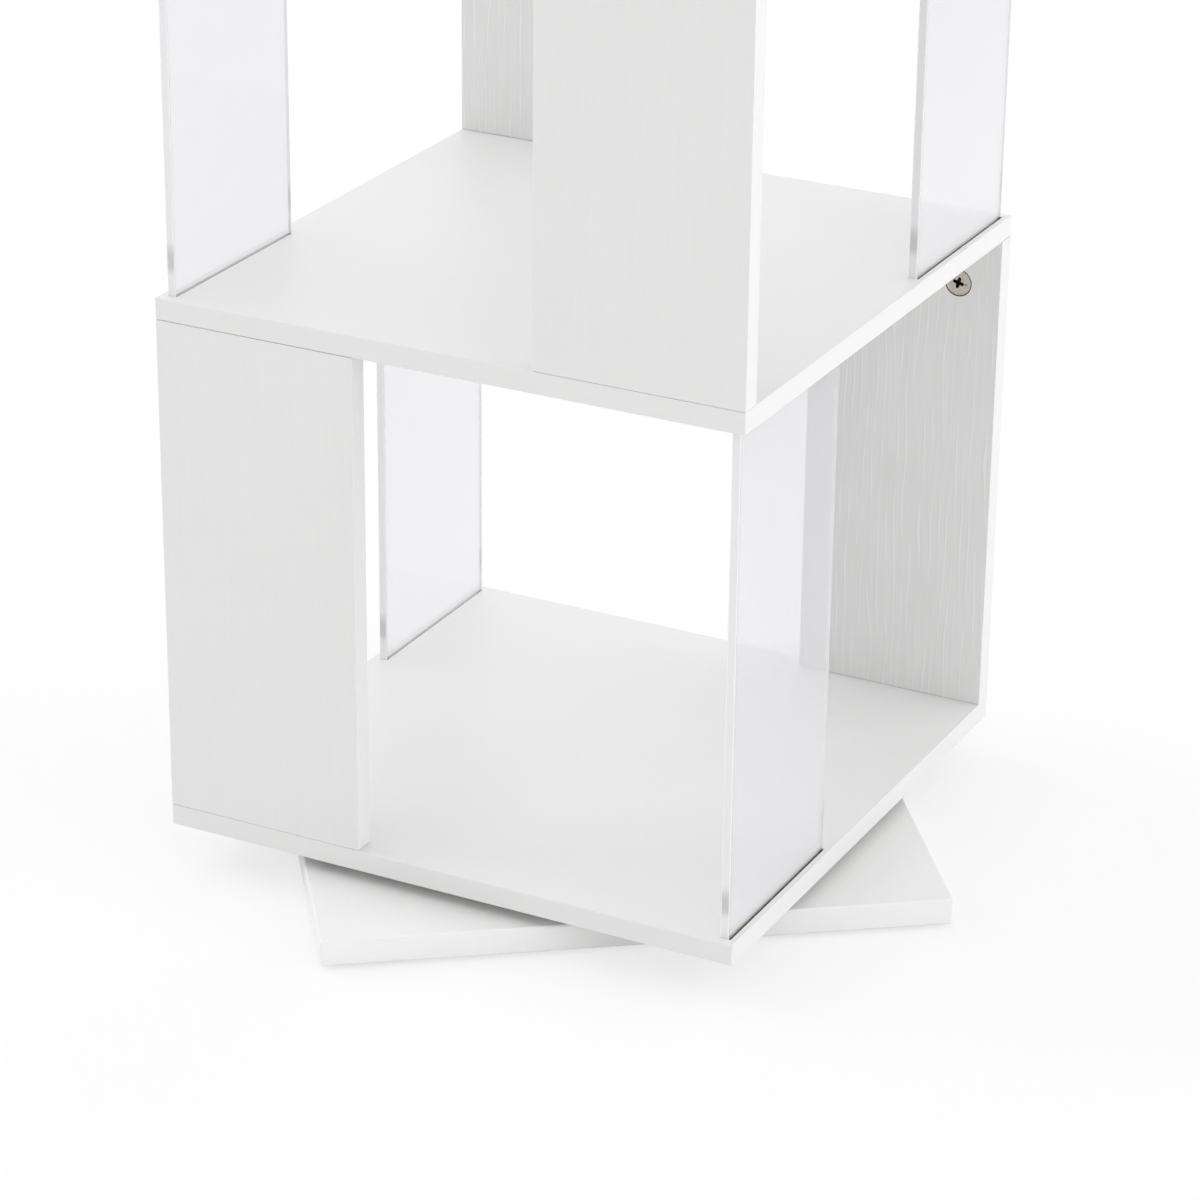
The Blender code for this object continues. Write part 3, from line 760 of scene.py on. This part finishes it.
def screwMesh():
    # The head's flat face is at z = 0 and the point is up
    head, height = screw["headRadius"], screw["headHeight"]
    root, thread, pitch = screw["rootRadius"], screw["threadRadius"], screw["pitch"]
    profile = [(0, 0), (head, 0), (head, screw["headEdge"]), (root + screw["neckFlare"], height),
               (root, height + screw["neckRise"])]
    level = height + screw["threadStart"]
    profile.append((root, level - pitch / 2))
    while level + pitch < screw["length"] - screw["point"]:
        profile += [(thread, level), (root, level + pitch / 2)]
        level += pitch
    profile += [(root, screw["length"] - screw["point"]), (0, screw["length"])]
    mesh = meshOf("shelf screw", turnedShape(profile, screw["sides"]), ["zinc", "recess"])
    cross = crossOutline(screw["crossArm"], screw["crossWidth"])
    recess = extrudedShape(cross, -mm, screw["crossDepth"])
    return smoothMesh(cutMesh(mesh, [(recess, 1)]), cutAngle)


def dowelMesh(grip):
    outline = []
    for step in range(2 * dowel["flutes"]):
        radius = dowel["radius"] - (step % 2) * dowel["fluteDepth"]
        angle = step * math.pi / dowel["flutes"]
        outline.append((radius * math.cos(angle), radius * math.sin(angle)))
    shape = extrudedShape(outline, -dowel["inPanel"], grip)
    ends = [face for face in shape.faces if abs(face.normal.z) > flatFrom]
    bmesh.ops.inset_region(shape, faces=ends, thickness=dowel["chamfer"], depth=0)
    for vert in shape.verts:
        if math.hypot(vert.co.x, vert.co.y) > dowel["radius"] - dowel["chamfer"]:
            vert.co.z -= math.copysign(dowel["chamfer"], vert.co.z)
    return meshOf("dowel", shape, ["beech"])


screwShape = screwMesh()
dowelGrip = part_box("wood_panel_front_1")[1].z - shelfBox(1)[0].z
dowelShape = dowelMesh(dowelGrip)
screwSpots, dowelSpots, boltSpots = {}, {}, {}
for tier, side in panelKeys:
    low, high = panelBox(tier, side)
    middle = (low + high) / 2
    for end, place in zip("ab", camPlaces(tier, side)):
        spot = Vector((place.translation.x, middle.y, shelfBox(tier - 1)[0].z + seatGap))
        screwSpots.setdefault(tier - 1, []).append(spot)
        boltSpots.setdefault(tier, []).append(spot)
        addPiece("shelf_screw_%s_%d%s" % (side, tier, end), screwShape, "tower",
                 place=Matrix.Translation(spot))
    spot = Vector((middle.x, middle.y, high.z))
    dowelSpots.setdefault(tier, []).append(spot)
    addPiece("dowel_%s_%d" % (side, tier), dowelShape, "tower",
             place=Matrix.Translation(spot))
print("screws and dowels:", 6 * tierCount)

# Shelves, with a groove for each guard
shelf = {"rounding": 0.5 * mm, "roundingSteps": 3, "overrun": mm, "grainShift": 0.37}
groove = {  # it is wide outside the guards on the right, and tight everywhere else
    "left": {"outerGap": 0.15 * mm, "innerGap": 0.08 * mm},
    "right": {"outerGap": 1.15 * mm, "innerGap": 0.15 * mm},
    "endGap": 0.1 * mm,
}


def grooveCutters(level):
    low, high = shelfBox(level)
    cutters = []
    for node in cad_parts:
        if not node.startswith("acrylic_guard"):
            continue
        guardLow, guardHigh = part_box(node)
        if guardHigh.z < low.z or guardLow.z > high.z:
            continue
        # The groove is as deep as the guard goes in, and the gap under the guard
        bottom = guardLow.z - seatGap
        top = guardHigh.z + seatGap
        if guardLow.x < 0:
            lowGap, highGap = groove["left"]["outerGap"], groove["left"]["innerGap"]
        else:
            lowGap, highGap = groove["right"]["innerGap"], groove["right"]["outerGap"]
        cutters.append(boxShape((guardLow.x - lowGap, guardLow.y - groove["endGap"], bottom),
                                (guardHigh.x + highGap, guardHigh.y + groove["endGap"], top)))
    return cutters


def boreShape(radius, bottom, top, sides=holes["sides"]):
    return turnedShape([(0, bottom), (radius, bottom), (radius, top), (0, top)], sides)


def shelfCutters(level):
    low, high = shelfBox(level)
    cutters = [(shape, Matrix.Identity(4)) for shape in grooveCutters(level)]
    overrun = shelf["overrun"]

    def bore(shape, spot):
        cutters.append((shape, Matrix.Translation((spot.x, spot.y, low.z))))

    for spot in screwSpots.get(level, []):
        head, shank = screw["headRadius"] + seatGap, screw["threadRadius"] + seatGap
        sink, top = screw["headHeight"] + 2 * seatGap, high.z - low.z + overrun
        bore(turnedShape([(0, -overrun), (head, -overrun), (head, 2 * seatGap), (shank, sink),
                          (shank, top), (0, top)], holes["sides"]), spot)
    for spot in boltSpots.get(level, []):
        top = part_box("cam_lock_front_%da" % level)[1].z + seatGap - low.z
        bore(boreShape(holes["boltRadius"], -overrun, top), spot)
    for spot in dowelSpots.get(level, []):
        bore(boreShape(dowel["radius"] + seatGap, -overrun, dowelGrip + seatGap), spot)
    return gathered(cutters)


for level in range(tierCount + 1):
    low, high = shelfBox(level)
    name = "shelf_board_%d" % level
    board = roundEdges(boxShape(low, high), shelf["rounding"], shelf["roundingSteps"])
    mesh = cutMesh(meshOf(name, board, ["laminate", "shelfCoreAndShade"]), [(shelfCutters(level), 1)])
    layGrain(smoothMesh(mesh), axisY, axisX, shelf["grainShift"] * level)
    evenNormals(addPiece(name, mesh, "tower", [shelfNode(level)]))
print("shelves:", tierCount + 1)

# Wood panels. Screwed down, they leave finer joints than the gap between the solids.
panel = {"rounding": 0.3 * mm, "roundingSteps": 3, "footGap": 0.15 * mm, "headGap": 0.20 * mm,
         "grainShift": 0.53}


def panelCutters(tier, side):
    low, high = panelBox(tier, side)
    middle = (low + high) / 2
    camLow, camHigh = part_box("cam_lock_%s_%da" % (side, tier))
    radius = (camHigh.x - camLow.x) / 2 + holes["camClearance"]
    depth = camHigh.y - camLow.y + holes["camClearance"]
    cutters = []
    for place in camPlaces(tier, side):
        cutters.append((boreShape(radius, -depth, mm, 2 * holes["sides"]), place))
        way = boreShape(holes["boltRadius"], place.translation.z, high.z + mm)
        cutters.append((way, Matrix.Translation((place.translation.x, middle.y, 0))))
    return gathered(cutters)


for number, (tier, side) in enumerate(panelKeys, 1):
    low, high = panelBox(tier, side)
    low.z += panel["footGap"] - seatGap
    high.z += seatGap - panel["headGap"]
    name = "wood_panel_board_%s_%d" % (side, tier)
    board = roundEdges(boxShape(low, high), panel["rounding"], panel["roundingSteps"])
    inwards = 1 if side == "front" else -1
    # Faces that look into the tower take the darker inner laminate: painted shade
    for face in board.faces:
        face.material_index = 2 if face.normal.y * inwards > flatFrom else 0
    mesh = meshOf(name, board, ["laminate", "core", "shadedInnerLaminate"])
    mesh = cutMesh(mesh, [(panelCutters(tier, side), 1)])
    layGrain(smoothMesh(mesh), axisZ, axisX, panel["grainShift"] * number)
    node = "wood_panel_%s_%d" % (side, tier)
    evenNormals(addPiece(name, mesh, "tower", [node]))
print("wood panels:", len(panelKeys))

# Acrylic guards
guard = {"polish": 0.5 * mm, "polishSteps": 3, "cutFrom": 0.99}  # straighter faces are cut edges
for tier in tiers:
    for side in ("left", "right"):
        node = "acrylic_guard_%s_%d" % (side, tier)
        sheet = roundEdges(boxShape(*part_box(node)), guard["polish"], guard["polishSteps"])
        for face in sheet.faces:
            if abs(face.normal.x) > flatFrom:
                face.material_index = 0
            else:
                face.material_index = 1 if max(map(abs, face.normal)) > guard["cutFrom"] else 2
        mesh = smoothMesh(meshOf("guard", sheet, ["acrylic", "acrylicEdge", "acrylicArrisHighlight"]))
        name = "guard_sheet_%s_%d" % (side, tier)
        evenNormals(addPiece(name, mesh, "tower", [node]))
print("guards:", 2 * tierCount)

# Base board: the CAD mesh, whose screw holes and driver hole lie at odd places, dressed again
baseBoard = {
    "cutDepth": 1.5 * mm,  # a face further inside than this is cut into the board
    "edgeStrip": 3 * mm,  # and so is an upright face further in than this
    "uprightTo": 0.7,
    "grainShift": 0.29,
}


def baseTurn():
    # The board's corners nearest to the camera and furthest to the right share an edge
    points = [vert.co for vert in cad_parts["base_board"].data.vertices]
    nearest = min(points, key=lambda point: point.y)
    rightmost = max(points, key=lambda point: point.x)
    return math.atan2(rightmost.y - nearest.y, rightmost.x - nearest.x)


def dressBase():
    turn = baseTurn()
    low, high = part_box("base_board")
    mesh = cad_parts["base_board"].data.copy()
    mesh.name = "base_board_dressed"
    mesh.materials.clear()
    # The base takes the brighter laminate: painted light
    mesh.materials.append(looks["litBaseLaminate"])
    mesh.materials.append(looks["core"])
    turnBack = Matrix.Rotation(-turn, 4, "Z")
    reach = max((turnBack @ vert.co).x for vert in mesh.vertices)
    for face in mesh.polygons:
        centre = turnBack @ face.center
        depth = min(reach - abs(centre.x), reach - abs(centre.y), centre.z - low.z,
                    high.z - centre.z)
        upright = abs(face.normal.z) <= baseBoard["uprightTo"]
        offEdge = max(abs(centre.x), abs(centre.y)) < reach - baseBoard["edgeStrip"]
        inside = depth > baseBoard["cutDepth"] or (upright and offEdge)
        face.material_index = 1 if inside else 0
    along = Vector((-math.sin(turn), math.cos(turn), 0))
    band = Vector((math.cos(turn), math.sin(turn), 0))
    layGrain(smoothMesh(mesh, turnedAngle), along, band, baseBoard["grainShift"])
    evenNormals(addPiece("base_board_dressed", mesh, "base", ["base_board"]))


dressBase()

# Felt pads under the base
pad = {"rounding": 0.6 * mm, "topEdge": 0.2 * mm, "sides": 40}
for corner in range(1, 5):
    low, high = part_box("foot_pad_%d" % corner)
    radius = (high.x - low.x) / 2
    rounding, topEdge = pad["rounding"], pad["topEdge"]
    profile = [(0, 0), (radius - rounding, 0), (radius - midRound * rounding, midRound * rounding),
               (radius, rounding), (radius, high.z - topEdge), (radius - topEdge, high.z),
               (0, high.z)]
    mesh = meshOf("felt pad", turnedShape(profile, pad["sides"]), ["felt"])
    smoothMesh(mesh, turnedAngle)
    addPiece("felt_pad_%d" % corner, mesh, "base", ["foot_pad_%d" % corner],
             Matrix.Translation(((low.x + high.x) / 2, (low.y + high.y) / 2, 0)))
print("base and pads")

# The swivel plate keeps its CAD shapes under new metal
for node in ("lower_swivel_plate", "upper_swivel_plate", "centre_rivet", "ball_cage"):
    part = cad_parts[node]
    if not part.material_slots:
        part.data.materials.append(looks["zinc"])
    for materialSlot in part.material_slots:
        materialSlot.material = looks["zinc"]

# Floor and white surroundings
studio = {
    "floorSize": 14,
    "floorColour": (0.93, 0.93, 0.93, 1),
    "mottle": 3,  # patches to a metre
    "mottleGrey": (0.98, 1.0),
    "shadowDepth": 0.30,  # how much of the light that falls on the floor the camera sees
    "glow": 0.67,  # makes up the rest of the white
    "plainFrom": 0.9,  # the floor is an even white from here out, so that no far edge shows
    "plainTo": 2.2,
    "ambient": 0.76,  # the world's light on the object
}


def whiteRays(look):
    # 1 for what the camera sees, straight or through acrylic or in metal
    path = addNode(look, "ShaderNodeLightPath")
    seen = calc(look, "MAXIMUM", path.outputs["Is Camera Ray"], path.outputs["Is Glossy Ray"])
    return calc(look, "MAXIMUM", seen, path.outputs["Is Transmission Ray"])


def floorLook():
    look = newLook("studio floor")
    depth = studio["shadowDepth"]
    point = objectPoint(look)
    grey = fit(look, noiseOf(look, point, studio["mottle"]), *noiseSpan, *studio["mottleGrey"])
    channels = {"Red": grey, "Green": grey, "Blue": grey}
    tint = addNode(look, "ShaderNodeCombineColor", channels).outputs[0]
    plain = addNode(look, "ShaderNodeBsdfDiffuse", {"Color": studio["floorColour"]})
    shaded = addNode(look, "ShaderNodeBsdfDiffuse", {"Color": (depth, depth, depth, 1)})
    glow = addNode(look, "ShaderNodeEmission", {"Color": tint, "Strength": studio["glow"]})
    near = addNode(look, "ShaderNodeAddShader", {0: shaded.outputs[0], 1: glow.outputs[0]})
    far = addNode(look, "ShaderNodeEmission", {"Strength": 1.0})
    away = addNode(look, "ShaderNodeVectorMath", {0: point}, operation="LENGTH").outputs["Value"]
    away = fit(look, away, studio["plainFrom"], studio["plainTo"])
    both = blendShaders(look, whiteRays(look), plain, blendShaders(look, away, near, far))
    below = addNode(look, "ShaderNodeNewGeometry").outputs["Backfacing"]
    clear = addNode(look, "ShaderNodeBsdfTransparent")
    whole = blendShaders(look, below, both, clear)
    addNode(look, "ShaderNodeOutputMaterial", {"Surface": whole.outputs[0]})
    return look


def addFloor():
    half = studio["floorSize"] / 2
    shape = bmesh.new()
    bmesh.ops.create_grid(shape, x_segments=1, y_segments=1, size=half)
    mesh = bpy.data.meshes.new("floor")
    shape.to_mesh(mesh)
    shape.free()
    mesh.materials.append(floorLook())
    floor = bpy.data.objects.new("floor", mesh)
    bpy.context.scene.collection.objects.link(floor)


def lightWorld():
    world = bpy.data.worlds.new("studio")
    bpy.context.scene.world = world
    world.use_nodes = True
    world.node_tree.nodes.clear()
    inputs = {"Value": whiteRays(world), "To Min": studio["ambient"]}
    strength = addNode(world, "ShaderNodeMapRange", inputs).outputs[0]
    sky = addNode(world, "ShaderNodeBackground", {"Color": (1, 1, 1, 1), "Strength": strength})
    addNode(world, "ShaderNodeOutputWorld", {"Surface": sky.outputs[0]})


addFloor()
lightWorld()

# Lamps: where each one is, how wide it is and its power in watts
lamps = {
    "rightLow": {"place": (3.4, -1.0, 0.7), "size": 2.4, "power": 17},
    "right": {"place": (3.8, 0.3, 1.9), "size": 4.0, "power": 38},
    "rightBack": {"place": (2.4, 2.9, 2.6), "size": 4.0, "power": 26},
    "backLeft": {"place": (-2.0, 3.2, 2.8), "size": 4.0, "power": 15},
    "left": {"place": (-4.6, -0.4, 3.9), "size": 4.0, "power": 106},
    "frontLeft": {"place": (-2.4, -3.4, 2.4), "size": 4.0, "power": 18},
}
lampAim = Vector((0, 0, 0.5))
for name, lamp in lamps.items():
    light = bpy.data.lights.new(name, "AREA")
    light.shape = "DISK"
    light.size = lamp["size"]
    light.energy = lamp["power"]
    item = bpy.data.objects.new(name, light)
    item.visible_camera = False
    item.visible_transmission = False
    item.location = lamp["place"]
    item.rotation_mode = "QUATERNION"
    item.rotation_quaternion = (lampAim - item.location).to_track_quat("-Z", "Y")
    bpy.context.scene.collection.objects.link(item)

# Camera: the photo is cut from a taller picture, and its camera was fitted to the shelves' corners
photoCamera = {
    "place": (0.982, -1.910, 1.084),
    "azimuth": 27.1,
    "elevation": 24.0,
    "roll": 0.63,
    "lens": 127.2,  # in millimetres, like the sensor
    "sensor": 36,
    "near": 0.05,
    "far": 60,
}


def addCamera():
    data = bpy.data.cameras.new("photo camera")
    data.sensor_width = photoCamera["sensor"]
    data.lens = photoCamera["lens"]
    data.clip_start = photoCamera["near"]
    data.clip_end = photoCamera["far"]
    camera = bpy.data.objects.new("photo camera", data)
    azimuth = math.radians(photoCamera["azimuth"])
    elevation = math.radians(photoCamera["elevation"])
    outwards = math.cos(elevation)
    back = Vector((math.sin(azimuth) * outwards, -math.cos(azimuth) * outwards,
                   math.sin(elevation)))
    camera.location = photoCamera["place"]
    camera.rotation_mode = "QUATERNION"
    roll = Quaternion((0, 0, 1), math.radians(photoCamera["roll"]))
    camera.rotation_quaternion = (-back).to_track_quat("-Z", "Y") @ roll
    bpy.context.scene.collection.objects.link(camera)
    bpy.context.scene.camera = camera


addCamera()
bpy.context.scene.view_settings.view_transform = "Standard"
print("studio")
